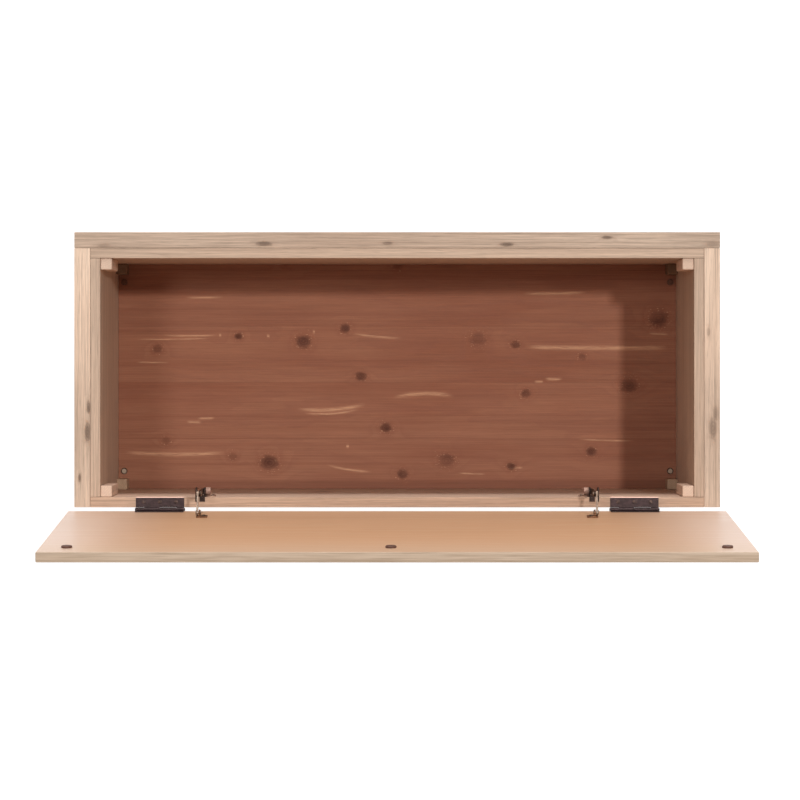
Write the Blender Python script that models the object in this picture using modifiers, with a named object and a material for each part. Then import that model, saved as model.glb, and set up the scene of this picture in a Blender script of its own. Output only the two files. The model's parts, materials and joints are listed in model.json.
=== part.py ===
"""Cedar-lined storage chest, with a lid on two butt hinges and two damped lid stays.

Metres, +Z up, front at -Y. The stored pose has the lid open, leaning a little past upright.
The carcass is built around its own middle, and an empty then moves the whole chest so that
the origin is the bottom centre of the box around the chest and its open lid.

Lid pieces are children of an empty on the hinge axis. Their places are written as for a closed
lid, and the empty's rotation opens it. Each stay is an exact parallelogram: the arm turns with
the lid about its own pivot, and the link between arm and lid bracket never tilts.
"""

import math

import bmesh
import bpy
from mathutils import Vector

# ---- Driving dimensions -----------------------------------------------------------------

# Carcass
BODY_WIDTH = 1.016
BODY_DEPTH = 0.433
RIM_HEIGHT = 0.440
PANEL_BOTTOM = 0.060
OUTER_BOARD = 0.025
INNER_BOARD = 0.016
REAR_BOARD = 0.016
BOARD_EASE = 0.0007
SEAM = 0.0003

# Floor
INSIDE_DEPTH = 0.325
LINING_THICKNESS = 0.006
FLOOR_THICKNESS = 0.009
CLEAT_SIDE = 0.018

# Corner blocks
BLOCK_SIDE = 0.018
BLOCK_EASE = 0.0015
UPPER_BLOCK_LENGTH = 0.110
UPPER_BLOCK_DROP = 0.002
LOWER_BLOCK_LENGTH = 0.040

# Feet and the bolts that hold them
FOOT_SIDE = 0.065
FOOT_EASE = 0.002
BOLT_FROM_SIDE_WALL = 0.010
BOLT_FROM_END_WALL = 0.030
BOLT_RADIUS = 0.0025
BOLT_LENGTH = 0.055
BOLT_FLANGE_RADIUS = 0.0055
BOLT_FLANGE_THICKNESS = 0.001
BOLT_HEX_RADIUS = 0.0041
BOLT_HEX_HEIGHT = 0.003

# Lid
LID_SIDE_OVERHANG = 0.0095
LID_FRONT_OVERHANG = 0.024
LID_THICKNESS = 0.015
LID_EASE = 0.0015
OPEN_ANGLE = math.radians(94.7)

# Bumpers under the lid's free edge
BUMPER_RADIUS = 0.008
BUMPER_FROM_EDGE = 0.046
BUMPER_INSIDE_OUTER_BOARD = 0.006
MIDDLE_BUMPER_X = 0.009

# Butt hinges
HINGE_FROM_END = 0.135
HINGE_LENGTH = 0.076
LEAF_PAST_BOARD = 0.0006
LEAF_THICKNESS = 0.0014
LEAF_GAP = 0.0003
BARREL_RADIUS = 0.0034
PIN_RADIUS = 0.0015
PIN_HEAD_RADIUS = 0.0027
PIN_HEAD_HEIGHT = 0.0012
KNUCKLE_SHARES = (1, 2, 2, 1)
KNUCKLE_GAP = 0.0004
LEAF_SCREWS = 3
LEAF_SCREW_FROM_END = 0.0125
SCREW_RADIUS = 0.0019
SCREW_HEAD_RADIUS = 0.0035

# Lid stays
STAY_FROM_HINGE = 0.0254
ARM_PIVOT_BELOW_RIM = 0.0142
LID_PIVOT_ALONG_LID = 0.078
LID_PIVOT_BELOW_LID = 0.0075
STRIP_RADIUS = 0.0045
ARM_THICKNESS = 0.0025
LINK_THICKNESS = 0.0025
STAY_SHEET = 0.002
STAY_SIDE_GAP = 0.00075
SHAFT_RADIUS = 0.0024
SHAFT_HEAD_RADIUS = 0.0042
SHAFT_HEAD_HEIGHT = 0.0015
SHAFT_DEPTH = 0.005
RIVET_RADIUS = 0.002
RIVET_HEAD_RADIUS = 0.0036
RIVET_HEAD_HEIGHT = 0.0012
DAMPER_RADIUS = 0.006
DAMPER_LENGTH = 0.008
DAMPER_EASE = 0.0008
STAY_EAR = 0.007
STAY_PLATE_BELOW_RIM = 0.001
STAY_PLATE_BELOW_PIVOT = 0.020
STAY_SCREW_SPACING = 0.017
INNER_CHEEK_HOOK = 0.0085
OUTER_CHEEK_GAP = 0.0045
HOOK_REACH = 0.007
CHEEK_CORNER = 0.003
LID_FOOT_DEPTH = 0.017
LID_FOOT_REACH = 0.011
LID_FOOT_SCREW_SPACING = 0.009

# Clearances
SEAT = 0.00025
RUNNING = 0.0003
OVERLAP = 0.001
ROUND_STEPS = 16

# ---- Places worked out from the dimensions ----------------------------------------------

FRONT_Y = -BODY_DEPTH / 2
REAR_Y = BODY_DEPTH / 2
OUTER_X = BODY_WIDTH / 2
OUTER_INSIDE_X = OUTER_X - OUTER_BOARD
OUTER_INSIDE_Y = FRONT_Y + OUTER_BOARD
WALL_X = OUTER_INSIDE_X - INNER_BOARD
WALL_FRONT_Y = OUTER_INSIDE_Y + INNER_BOARD
WALL_REAR_Y = REAR_Y - REAR_BOARD

LINING_TOP = RIM_HEIGHT - INSIDE_DEPTH
LINING_BOTTOM = LINING_TOP - LINING_THICKNESS
FLOOR_TOP = LINING_BOTTOM - SEAM
FLOOR_BOTTOM = FLOOR_TOP - FLOOR_THICKNESS
FOOT_TOP = FLOOR_BOTTOM - SEAM

# The hinge axis lies half way up the gap under the closed lid, and its barrel just clears the back
LID_GAP = 2 * SEAT + 2 * LEAF_THICKNESS + LEAF_GAP
LID_FACE = LID_GAP / 2
AXIS_BEHIND_BACK = BARREL_RADIUS
AXIS_Y = REAR_Y + AXIS_BEHIND_BACK
AXIS_Z = RIM_HEIGHT + LID_FACE
HINGE_X = OUTER_X - HINGE_FROM_END
LEAF_REACH = AXIS_BEHIND_BACK + REAR_BOARD + LEAF_PAST_BOARD

LID_WIDTH = BODY_WIDTH + 2 * LID_SIDE_OVERHANG
LID_DEPTH = BODY_DEPTH + LID_FRONT_OVERHANG
BUMPER_THICKNESS = LID_GAP - SEAT - SEAM
SIDE_BUMPER_X = OUTER_INSIDE_X - BUMPER_INSIDE_OUTER_BOARD
BUMPER_X = {"left": -SIDE_BUMPER_X, "middle": MIDDLE_BUMPER_X, "right": SIDE_BUMPER_X}


def turned_about_axis(point, angle):
    """A (y, z) point turned about the origin, positive from +Y towards +Z."""
    y, z = point
    cosine, sine = math.cos(angle), math.sin(angle)
    return (y * cosine - z * sine, y * sine + z * cosine)


# Pivots of a stay, as distances along Y and Z from the hinge axis
ARM_PIVOT_FROM_WALL = SEAT + STAY_SHEET + STAY_SIDE_GAP + DAMPER_RADIUS
ARM_PIVOT = (
    -(AXIS_BEHIND_BACK + REAR_BOARD + ARM_PIVOT_FROM_WALL),
    -(LID_FACE + ARM_PIVOT_BELOW_RIM),
)
LID_PIVOT_CLOSED = (-LID_PIVOT_ALONG_LID, LID_FACE - LID_PIVOT_BELOW_LID)
LID_PIVOT_OPEN = turned_about_axis(LID_PIVOT_CLOSED, -OPEN_ANGLE)
ARM_VECTOR = LID_PIVOT_OPEN
LINK_VECTOR = (-ARM_PIVOT[0], -ARM_PIVOT[1])

LID_REAR = -AXIS_BEHIND_BACK
LID_FREE_EDGE = LID_REAR - LID_DEPTH
OPEN_REACH_Y = AXIS_Y + turned_about_axis((LID_FREE_EDGE, LID_FACE + LID_THICKNESS), -OPEN_ANGLE)[0]
BOX_CENTRE_Y = (FRONT_Y + OPEN_REACH_Y) / 2

# Layers of a stay across X, counted outwards from the chest's middle
STAY_X = HINGE_X - HINGE_LENGTH / 2 - STAY_FROM_HINGE
LINK_INSIDE = STAY_X - LINK_THICKNESS / 2
LINK_OUTSIDE = STAY_X + LINK_THICKNESS / 2
ARM_OUTSIDE = LINK_INSIDE - STAY_SIDE_GAP
ARM_INSIDE = ARM_OUTSIDE - ARM_THICKNESS
OUTER_CHEEK = (LINK_OUTSIDE + OUTER_CHEEK_GAP, LINK_OUTSIDE + OUTER_CHEEK_GAP + STAY_SHEET)
INNER_CHEEK = (ARM_INSIDE - STAY_SIDE_GAP - STAY_SHEET, ARM_INSIDE - STAY_SIDE_GAP)
DAMPER_OUTSIDE = INNER_CHEEK[0] - SEAM
DAMPER_INSIDE = DAMPER_OUTSIDE - DAMPER_LENGTH
PLATE_INSIDE = DAMPER_INSIDE - STAY_EAR
EAR_INSIDE = ARM_INSIDE
EAR_OUTSIDE = EAR_INSIDE + STAY_SHEET

SIDES = {"left": -1, "right": 1}

# ---- Scene, collections and materials ---------------------------------------------------

for old in list(bpy.data.objects):
    bpy.data.objects.remove(old, do_unlink=True)

PARTS = bpy.data.collections.new("storage_chest")
CUTTERS = bpy.data.collections.new("cutters")
bpy.context.scene.collection.children.link(PARTS)
bpy.context.scene.collection.children.link(CUTTERS)


def linear(channel):
    """One display colour channel, 0 to 255, as scene-linear light."""
    value = channel / 255
    return value / 12.92 if value <= 0.04045 else ((value + 0.055) / 1.055) ** 2.4


def material(name, colour, roughness, metallic=0.0):
    made = bpy.data.materials.new(name)
    made.use_nodes = True
    shader = made.node_tree.nodes["Principled BSDF"]
    shader.inputs["Base Color"].default_value = (*[linear(c) for c in colour], 1.0)
    shader.inputs["Roughness"].default_value = roughness
    shader.inputs["Metallic"].default_value = metallic
    return made


OUTER_WOOD = material("outer_wood", (198, 172, 150), 0.62)
INNER_WOOD = material("inner_wood", (204, 174, 153), 0.60)
REAR_WOOD = material("rear_wood", (184, 148, 126), 0.60)
BLOCK_WOOD = material("block_wood", (235, 205, 185), 0.65)
LID_WOOD = material("lid_wood", (203, 160, 126), 0.42)
CEDAR = material("cedar", (137, 87, 70), 0.55)
PLYWOOD = material("plywood", (205, 175, 140), 0.70)
HINGE_BRONZE = material("hinge_bronze", (60, 48, 44), 0.38, 0.85)
STAY_DARK = material("stay_dark", (58, 52, 50), 0.42, 0.80)
STAY_STEEL = material("stay_steel", (150, 146, 142), 0.35, 0.95)
BOLT_STEEL = material("bolt_steel", (190, 188, 184), 0.30, 0.95)
BUMPER_RUBBER = material("bumper_rubber", (72, 44, 34), 0.70)

# ---- Makers -----------------------------------------------------------------------------


def axis_empty(name, parent, location, angle_x=0.0):
    """An empty whose X axis is a joint's axis."""
    empty = bpy.data.objects.new(name, None)
    empty.empty_display_size = 0.02
    empty.location = location
    empty.rotation_euler.x = angle_x
    empty.parent = parent
    PARTS.objects.link(empty)
    return empty


def place(name, mesh, parent, location, look):
    """One named piece with its material. A look of None marks a cutter or a shape to join."""
    piece = bpy.data.objects.new(name, mesh)
    piece.location = location
    piece.parent = parent
    if look is None:
        piece.hide_render = True
        piece.display_type = "WIRE"
        CUTTERS.objects.link(piece)
    else:
        mesh.materials.append(look)
        PARTS.objects.link(piece)
    return piece


def mesh_from(shape, name):
    mesh = bpy.data.meshes.new(name)
    shape.to_mesh(mesh)
    shape.free()
    return mesh


def ease(piece, width, segments=2):
    bevel = piece.modifiers.new("ease", "BEVEL")
    bevel.width = width
    bevel.segments = segments
    bevel.limit_method = "ANGLE"


def block(name, parent, x, y, z, look, easing=0.0):
    """A box between two planes on each axis, given as pairs in any order."""
    spans = [sorted(pair) for pair in (x, y, z)]
    size = Vector([high - low for low, high in spans])
    middle = Vector([(low + high) / 2 for low, high in spans])
    shape = bmesh.new()
    bmesh.ops.create_cube(shape, size=1.0)
    bmesh.ops.scale(shape, vec=size, verts=shape.verts)
    piece = place(name, mesh_from(shape, name), parent, middle, look)
    if easing:
        ease(piece, easing)
    return piece


def rod(name, parent, start, end, radius, look=None, end_radius=None, steps=ROUND_STEPS):
    """A cylinder between two points, or a cone with end_radius at its second point."""
    start, end = Vector(start), Vector(end)
    shape = bmesh.new()
    bmesh.ops.create_cone(
        shape,
        cap_ends=True,
        segments=steps,
        radius1=radius,
        radius2=radius if end_radius is None else end_radius,
        depth=(end - start).length,
    )
    piece = place(name, mesh_from(shape, name), parent, (start + end) / 2, look)
    piece.rotation_euler = (end - start).to_track_quat("Z", "Y").to_euler()
    return piece


def turned(name, parent, location, profile, look, tilt_y=0.0):
    """A turned shape: a profile of (radius, height) points from top to bottom, spun about Z."""
    shape = bmesh.new()
    points = [shape.verts.new((radius, 0.0, height)) for radius, height in profile]
    for first, second in zip(points, points[1:]):
        shape.edges.new((first, second))
    piece = place(name, mesh_from(shape, name), parent, location, look)
    piece.rotation_euler.y = tilt_y
    screw = piece.modifiers.new("turn", "SCREW")
    screw.axis = "Z"
    screw.steps = ROUND_STEPS
    screw.render_steps = ROUND_STEPS
    screw.use_merge_vertices = True
    screw.merge_threshold = 0.00001
    screw.use_smooth_shade = True
    return piece


def arc(centre, radius, start, end, steps):
    """Points of an arc, both ends included, with angles measured from +Y towards +Z."""
    turns = [start + (end - start) * step / steps for step in range(steps + 1)]
    return [(centre[0] + radius * math.cos(t), centre[1] + radius * math.sin(t)) for t in turns]


def circle(centre, radius, steps=ROUND_STEPS):
    return arc(centre, radius, 0.0, 2 * math.pi, steps)[:-1]


def capsule(first, second, radius, steps=ROUND_STEPS // 2):
    """The outline of a strip with round ends about two points."""
    along = math.atan2(second[1] - first[1], second[0] - first[0])
    quarter = math.pi / 2
    return [
        *arc(second, radius, along - quarter, along + quarter, steps),
        *arc(first, radius, along + quarter, along + 3 * quarter, steps),
    ]


def lug(centre, radius, length, steps=ROUND_STEPS // 2):
    """The outline of an ear: round about its pivot, and straight up to the sheet it grows from."""
    return [
        *arc(centre, radius, -math.pi, 0.0, steps),
        (centre[0] + radius, centre[1] + length),
        (centre[0] - radius, centre[1] + length),
    ]


def cheek_outline(pivot, back):
    """A bracket's cheek: round about the pivot, up to the rim, and hooked back over it."""
    front = pivot[0] - DAMPER_RADIUS
    hook_bottom = RIM_HEIGHT + SEAT
    hook_top = hook_bottom + STAY_SHEET
    hook_end = back + SEAT + HOOK_REACH
    corner = (front + CHEEK_CORNER, hook_top - CHEEK_CORNER)
    return [
        *arc(pivot, DAMPER_RADIUS, -math.pi / 2, -math.pi, ROUND_STEPS // 4),
        *arc(corner, CHEEK_CORNER, math.pi, math.pi / 2, ROUND_STEPS // 4),
        (hook_end, hook_top),
        (hook_end, hook_bottom),
        (back, hook_bottom),
        (back, pivot[1] - DAMPER_RADIUS),
    ]


def plate(name, parent, x, outlines, look):
    """A flat plate across X: the first outline in (y, z) is its edge, the others are holes."""
    low, high = sorted(x)
    curve = bpy.data.curves.new(name + "_outline", "CURVE")
    curve.dimensions = "2D"
    curve.fill_mode = "BOTH"
    curve.extrude = (high - low) / 2
    for outline in outlines:
        spline = curve.splines.new("POLY")
        spline.points.add(len(outline) - 1)
        for point, (y, z) in zip(spline.points, outline):
            point.co = (y, z, 0.0, 1.0)
        spline.use_cyclic_u = True
    drawn = bpy.data.objects.new(name + "_outline", curve)
    bpy.context.scene.collection.objects.link(drawn)
    graph = bpy.context.evaluated_depsgraph_get()
    mesh = bpy.data.meshes.new_from_object(drawn.evaluated_get(graph))
    bpy.data.objects.remove(drawn, do_unlink=True)
    shape = bmesh.new()
    shape.from_mesh(mesh)
    bmesh.ops.remove_doubles(shape, verts=shape.verts, dist=0.000001)
    bmesh.ops.recalc_face_normals(shape, faces=shape.faces)
    shape.to_mesh(mesh)
    shape.free()
    piece = place(name, mesh, parent, ((low + high) / 2, 0.0, 0.0), look)
    piece.rotation_euler = (math.pi / 2, 0.0, math.pi / 2)
    return piece


def boolean(piece, other, operation):
    step = piece.modifiers.new(other.name, "BOOLEAN")
    step.object = other
    step.operation = operation
    step.solver = "EXACT"


def cut(piece, *cutters):
    for cutter in cutters:
        boolean(piece, cutter, "DIFFERENCE")


def join(piece, *shapes):
    for shape in shapes:
        boolean(piece, shape, "UNION")


# ---- Carcass ----------------------------------------------------------------------------


def make_carcass(chest):
    """Outer boards, the inner boards that line them, and the single rear board."""
    height = (PANEL_BOTTOM, RIM_HEIGHT)
    block(
        "front_outer_panel", chest, (-OUTER_X, OUTER_X), (FRONT_Y, OUTER_INSIDE_Y), height,
        OUTER_WOOD, BOARD_EASE,
    )
    between_sides = (-OUTER_INSIDE_X + SEAM, OUTER_INSIDE_X - SEAM)
    block(
        "front_inner_panel", chest, between_sides, (OUTER_INSIDE_Y + SEAM, WALL_FRONT_Y), height,
        INNER_WOOD, BOARD_EASE,
    )
    block(
        "rear_panel", chest, between_sides, (WALL_REAR_Y, REAR_Y), height,
        REAR_WOOD, BOARD_EASE,
    )
    for side, sign in SIDES.items():
        block(
            f"side_outer_panel_{side}", chest,
            (sign * OUTER_INSIDE_X, sign * OUTER_X), (OUTER_INSIDE_Y + SEAM, REAR_Y), height,
            OUTER_WOOD, BOARD_EASE,
        )
        block(
            f"side_inner_panel_{side}", chest,
            (sign * WALL_X, sign * (OUTER_INSIDE_X - SEAM)),
            (WALL_FRONT_Y + SEAM, WALL_REAR_Y - SEAM), height,
            INNER_WOOD, BOARD_EASE,
        )


def corner_places():
    """Each inside corner: its name, its X sign, its wall's Y and the way into the chest from it."""
    for end, wall_y, inwards in (("front", WALL_FRONT_Y, 1), ("rear", WALL_REAR_Y, -1)):
        for side, sign in SIDES.items():
            yield f"{end}_{side}", sign, wall_y, inwards


def make_corner_blocks(chest):
    """Short square blocks in the corners, at the rim and on the floor."""
    for corner, sign, wall_y, inwards in corner_places():
        x = (sign * (WALL_X - SEAM), sign * (WALL_X - BLOCK_SIDE))
        y = (wall_y + inwards * SEAM, wall_y + inwards * BLOCK_SIDE)
        top = RIM_HEIGHT - UPPER_BLOCK_DROP
        block(
            f"upper_corner_block_{corner}", chest, x, y, (top - UPPER_BLOCK_LENGTH, top),
            BLOCK_WOOD, BLOCK_EASE,
        )
        bottom = LINING_TOP + SEAM
        block(
            f"lower_corner_block_{corner}", chest, x, y, (bottom, bottom + LOWER_BLOCK_LENGTH),
            BLOCK_WOOD, BLOCK_EASE,
        )


def bolt_place(sign, wall_y, inwards):
    return (sign * (WALL_X - BOLT_FROM_SIDE_WALL), wall_y + inwards * BOLT_FROM_END_WALL)


def make_floor(chest):
    """Plywood floor and its cedar lining, both drilled for the foot bolts, on four cleats."""
    x = (-WALL_X + SEAM, WALL_X - SEAM)
    y = (WALL_FRONT_Y + SEAM, WALL_REAR_Y - SEAM)
    lining = block("cedar_lining", chest, x, y, (LINING_BOTTOM, LINING_TOP), CEDAR)
    floor = block("floor_panel", chest, x, y, (FLOOR_BOTTOM, FLOOR_TOP), PLYWOOD)
    for corner, sign, wall_y, inwards in corner_places():
        centre = bolt_place(sign, wall_y, inwards)
        drill = rod(
            f"floor_drill_{corner}", chest, (*centre, FLOOR_BOTTOM - OVERLAP),
            (*centre, LINING_TOP + OVERLAP), BOLT_RADIUS + RUNNING,
        )
        cut(lining, drill)
        cut(floor, drill)
    cleat_z = (FOOT_TOP - CLEAT_SIDE, FOOT_TOP)
    past_feet_x = WALL_X - SEAM - FOOT_SIDE - SEAM
    for end, wall_y, inwards in (("front", WALL_FRONT_Y, 1), ("rear", WALL_REAR_Y, -1)):
        cleat_y = (wall_y + inwards * SEAM, wall_y + inwards * CLEAT_SIDE)
        block(
            f"floor_cleat_{end}", chest, (-past_feet_x, past_feet_x), cleat_y, cleat_z,
            PLYWOOD, BOARD_EASE,
        )
    past_feet_y = (
        WALL_FRONT_Y + SEAM + FOOT_SIDE + SEAM,
        WALL_REAR_Y - SEAM - FOOT_SIDE - SEAM,
    )
    for side, sign in SIDES.items():
        cleat_x = (sign * (WALL_X - SEAM), sign * (WALL_X - CLEAT_SIDE))
        block(f"floor_cleat_{side}", chest, cleat_x, past_feet_y, cleat_z, PLYWOOD, BOARD_EASE)


def make_feet(chest):
    """Four square feet under the floor, each held by one flanged bolt from inside."""
    for corner, sign, wall_y, inwards in corner_places():
        foot = block(
            f"foot_{corner}", chest,
            (sign * (WALL_X - SEAM), sign * (WALL_X - SEAM - FOOT_SIDE)),
            (wall_y + inwards * SEAM, wall_y + inwards * (SEAM + FOOT_SIDE)),
            (0.0, FOOT_TOP), OUTER_WOOD, FOOT_EASE,
        )
        centre = bolt_place(sign, wall_y, inwards)
        seat = LINING_TOP + SEAM
        tip = seat - BOLT_LENGTH
        cut(foot, rod(
            f"foot_drill_{corner}", chest, (*centre, tip - OVERLAP),
            (*centre, FOOT_TOP + OVERLAP), BOLT_RADIUS + RUNNING,
        ))
        flange_top = seat + BOLT_FLANGE_THICKNESS
        bolt = turned(
            f"foot_bolt_{corner}", chest, (*centre, 0.0),
            [
                (0.0, flange_top),
                (BOLT_FLANGE_RADIUS - BOLT_FLANGE_THICKNESS / 2, flange_top),
                (BOLT_FLANGE_RADIUS, flange_top - BOLT_FLANGE_THICKNESS / 2),
                (BOLT_FLANGE_RADIUS, seat),
                (BOLT_RADIUS, seat),
                (BOLT_RADIUS, tip + BOLT_RADIUS / 2),
                (BOLT_RADIUS / 2, tip),
                (0.0, tip),
            ],
            BOLT_STEEL,
        )
        join(bolt, rod(
            f"foot_bolt_hex_{corner}", chest, (*centre, flange_top - BOLT_FLANGE_THICKNESS / 2),
            (*centre, flange_top + BOLT_HEX_HEIGHT), BOLT_HEX_RADIUS, steps=6,
        ))


# ---- Lid --------------------------------------------------------------------------------


def make_lid(lid_axis):
    """The lid board and the bumpers that land on the rim."""
    block(
        "lid_panel", lid_axis, (-LID_WIDTH / 2, LID_WIDTH / 2), (LID_REAR, LID_FREE_EDGE),
        (LID_FACE, LID_FACE + LID_THICKNESS), LID_WOOD, LID_EASE,
    )
    top = LID_FACE - SEAT
    bottom = top - BUMPER_THICKNESS
    round_off = BUMPER_THICKNESS / 3
    for place_name, x in BUMPER_X.items():
        turned(
            f"lid_bumper_{place_name}", lid_axis, (x, LID_FREE_EDGE + BUMPER_FROM_EDGE, 0.0),
            [
                (0.0, top),
                (BUMPER_RADIUS, top),
                (BUMPER_RADIUS, bottom + round_off),
                (BUMPER_RADIUS - round_off, bottom),
                (0.0, bottom),
            ],
            BUMPER_RUBBER,
        )


# ---- Hinges -----------------------------------------------------------------------------


def make_leaf(name, parent, x, axis, face, into_wood, first_knuckle):
    """A hinge leaf with every second knuckle. The screws go in at face, towards into_wood."""
    inner_face = face + into_wood * LEAF_THICKNESS
    past_barrel = axis[0] - BARREL_RADIUS - KNUCKLE_GAP
    front = axis[0] - LEAF_REACH
    ends = (x - HINGE_LENGTH / 2, x + HINGE_LENGTH / 2)
    leaf = block(name, parent, ends, (front, past_barrel), (face, inner_face), HINGE_BRONZE)
    share = (HINGE_LENGTH + KNUCKLE_GAP) / sum(KNUCKLE_SHARES)
    for index in range(first_knuckle, len(KNUCKLE_SHARES), 2):
        start = ends[0] + sum(KNUCKLE_SHARES[:index]) * share
        span = (start, start + KNUCKLE_SHARES[index] * share - KNUCKLE_GAP)
        web = block(
            f"{name}_web_{index}", parent, span, (past_barrel - OVERLAP, axis[0] - PIN_RADIUS / 2),
            (face, inner_face), None,
        )
        barrel = rod(
            f"{name}_barrel_{index}", parent, (span[0], *axis), (span[1], *axis), BARREL_RADIUS,
        )
        join(leaf, web, barrel)
    cut(leaf, rod(
        f"{name}_bore", parent, (ends[0] - OVERLAP, *axis), (ends[1] + OVERLAP, *axis),
        PIN_RADIUS + RUNNING,
    ))
    screw_y = (front + past_barrel) / 2
    screw_pitch = (HINGE_LENGTH - 2 * LEAF_SCREW_FROM_END) / (LEAF_SCREWS - 1)
    for index in range(LEAF_SCREWS):
        screw_x = ends[0] + LEAF_SCREW_FROM_END + index * screw_pitch
        flare = (SCREW_HEAD_RADIUS - SCREW_RADIUS) * OVERLAP / LEAF_THICKNESS
        cut(leaf, rod(
            f"{name}_sink_{index}", parent, (screw_x, screw_y, inner_face + into_wood * OVERLAP),
            (screw_x, screw_y, face - into_wood * OVERLAP),
            SCREW_RADIUS - flare, end_radius=SCREW_HEAD_RADIUS + flare,
        ))


def make_hinges(chest, lid_axis):
    """Two butt hinges: one leaf on the rim, one under the lid, and a pin through the knuckles."""
    rim_face = RIM_HEIGHT + SEAT + LEAF_THICKNESS
    lid_face = LID_FACE - SEAT - LEAF_THICKNESS
    for side, sign in SIDES.items():
        x = sign * HINGE_X
        make_leaf(f"hinge_body_leaf_{side}", chest, x, (AXIS_Y, AXIS_Z), rim_face, -1, 0)
        make_leaf(f"hinge_lid_leaf_{side}", lid_axis, x, (0.0, 0.0), lid_face, 1, 1)
        under_head = HINGE_LENGTH / 2 + KNUCKLE_GAP
        top = under_head + PIN_HEAD_HEIGHT
        domed = PIN_HEAD_RADIUS * 0.7
        turned(
            f"hinge_pin_{side}", chest, (x, AXIS_Y, AXIS_Z),
            [
                (0.0, top),
                (domed, top - PIN_HEAD_HEIGHT / 4),
                (PIN_HEAD_RADIUS, under_head + PIN_HEAD_HEIGHT / 4),
                (PIN_HEAD_RADIUS, under_head),
                (PIN_RADIUS, under_head),
                (PIN_RADIUS, -under_head),
                (PIN_HEAD_RADIUS, -under_head),
                (PIN_HEAD_RADIUS, -under_head - PIN_HEAD_HEIGHT / 4),
                (domed, -top + PIN_HEAD_HEIGHT / 4),
                (0.0, -top),
            ],
            HINGE_BRONZE, tilt_y=math.pi / 2,
        )


# ---- Lid stays --------------------------------------------------------------------------


def make_wall_bracket(chest, side, sign):
    """A plate on the rear wall with two cheeks hooked over the rim, and the damper beside them."""
    pivot = (AXIS_Y + ARM_PIVOT[0], AXIS_Z + ARM_PIVOT[1])
    back = WALL_REAR_Y - SEAT
    bracket = block(
        f"stay_bracket_{side}", chest, (sign * PLATE_INSIDE, sign * OUTER_CHEEK[1]),
        (back - STAY_SHEET, back),
        (pivot[1] - STAY_PLATE_BELOW_PIVOT, RIM_HEIGHT - STAY_PLATE_BELOW_RIM), STAY_DARK,
    )
    for cheek, (inside, outside) in (("inner", INNER_CHEEK), ("outer", OUTER_CHEEK)):
        join(bracket, plate(
            f"stay_{cheek}_cheek_{side}", chest, (sign * inside, sign * outside),
            [cheek_outline(pivot, back)], None,
        ))
    hook_bottom = RIM_HEIGHT + SEAT
    join(bracket, block(
        f"stay_hook_{side}", chest,
        (sign * (INNER_CHEEK[1] - OVERLAP), sign * (INNER_CHEEK[0] + INNER_CHEEK_HOOK)),
        (back, back + SEAT + HOOK_REACH), (hook_bottom, hook_bottom + STAY_SHEET), None,
    ))
    cut(bracket, rod(
        f"stay_cheek_bore_{side}", chest, (sign * (INNER_CHEEK[0] - OVERLAP), *pivot),
        (sign * (INNER_CHEEK[1] + OVERLAP), *pivot), SHAFT_RADIUS + RUNNING,
    ))
    screw_x = sign * (PLATE_INSIDE + STAY_EAR / 2)
    for index in (-1, 1):
        screw_z = pivot[1] + index * STAY_SCREW_SPACING / 2
        cut(bracket, rod(
            f"stay_wall_hole_{side}_{index}", chest, (screw_x, back - STAY_SHEET - OVERLAP, screw_z),
            (screw_x, back + OVERLAP, screw_z), SCREW_RADIUS,
        ))
    damper = rod(
        f"stay_damper_{side}", chest, (sign * DAMPER_INSIDE, *pivot),
        (sign * DAMPER_OUTSIDE, *pivot), DAMPER_RADIUS, STAY_DARK,
    )
    ease(damper, DAMPER_EASE)
    cut(damper, rod(
        f"stay_damper_bore_{side}", chest,
        (sign * (DAMPER_OUTSIDE - SHAFT_DEPTH - RUNNING), *pivot),
        (sign * (DAMPER_OUTSIDE + OVERLAP), *pivot), SHAFT_RADIUS + RUNNING,
    ))
    return pivot


def rivet(name, parent, place_yz, sign, inside, outside):
    """A rivet across X with a domed head beyond each of two faces."""
    step = RIVET_HEAD_HEIGHT / 3
    near = (RIVET_HEAD_RADIUS, RIVET_HEAD_RADIUS * 0.8)
    upper = outside + SEAM
    lower = inside - SEAM
    turned(
        name, parent, (0.0, *place_yz),
        [
            (0.0, upper + RIVET_HEAD_HEIGHT),
            (near[1], upper + RIVET_HEAD_HEIGHT - step / 2),
            (near[0], upper + step),
            (near[0], upper),
            (RIVET_RADIUS, upper),
            (RIVET_RADIUS, lower),
            (near[0], lower),
            (near[0], lower - step),
            (near[1], lower - RIVET_HEAD_HEIGHT + step / 2),
            (0.0, lower - RIVET_HEAD_HEIGHT),
        ],
        STAY_STEEL, tilt_y=sign * math.pi / 2,
    )


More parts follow.
